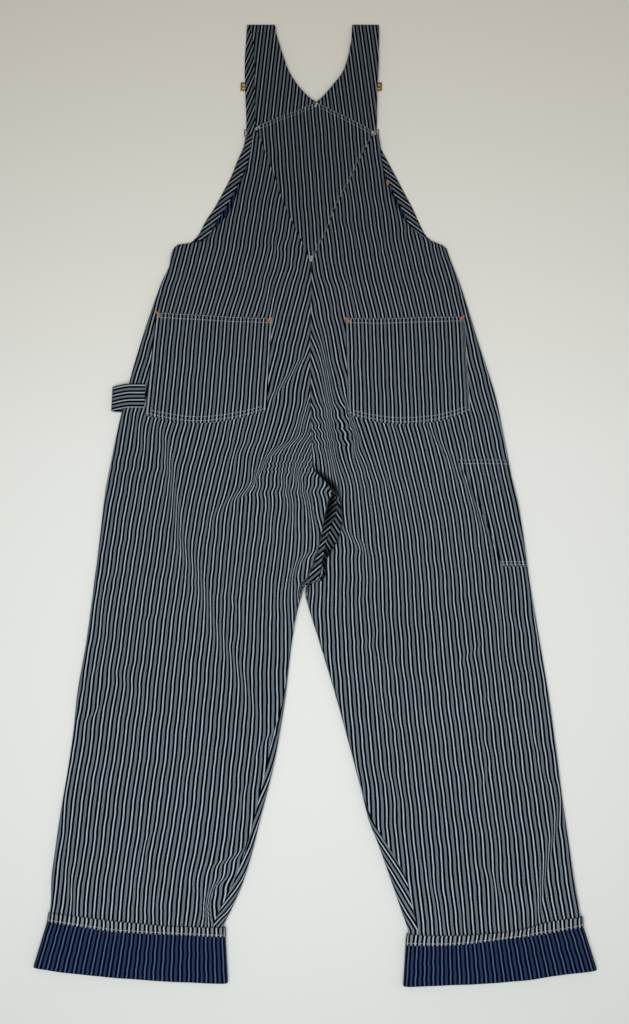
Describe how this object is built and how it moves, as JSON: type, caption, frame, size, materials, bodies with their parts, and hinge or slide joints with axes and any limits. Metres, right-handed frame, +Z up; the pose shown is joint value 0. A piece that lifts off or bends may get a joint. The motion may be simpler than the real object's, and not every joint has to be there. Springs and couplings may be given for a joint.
{
  "type": "dungarees",
  "caption": "Striped cotton bib overalls laid flat with the back up: crossed-yoke back, straps, patch pockets, hammer loop, rule pocket and turned-up hems.",
  "frame": {"origin": "centre of the laid-out garment's box, on the surface it lies on", "axes": "+X from the wearer's left to the right, +Y from the hems to the straps, +Z up out of the back"},
  "size_m": [0.7067, 1.4105, 0.0184],
  "materials": {
    "striped_face": "striped cotton drill, face side: indigo and off-white stripes with a fine diagonal twill, matt",
    "reverse": "reverse of the same drill: deep indigo with faint paler stripes, matt",
    "brass": "plain brass, lightly brushed"
  },
  "bodies": {
    "root": {"back_left": "striped_face", "back_right": "striped_face", "front_left": "striped_face", "front_right": "striped_face", "yoke": "striped_face", "bib": "striped_face", "bib_pocket": "striped_face", "bib_facing_left": "striped_face", "bib_facing_right": "striped_face", "strap_left": "striped_face", "strap_right": "striped_face", "back_pocket_left": "striped_face", "back_pocket_right": "striped_face", "rule_pocket": "striped_face", "hammer_loop": "striped_face", "turn_up_left": "reverse", "turn_up_right": "reverse", "hem_band_left": "striped_face", "hem_band_right": "striped_face", "slider_left": "brass", "slider_right": "brass", "hook_left": "brass", "hook_right": "brass", "bib_button_left": "brass", "bib_button_right": "brass"}
  },
  "joints": []
}
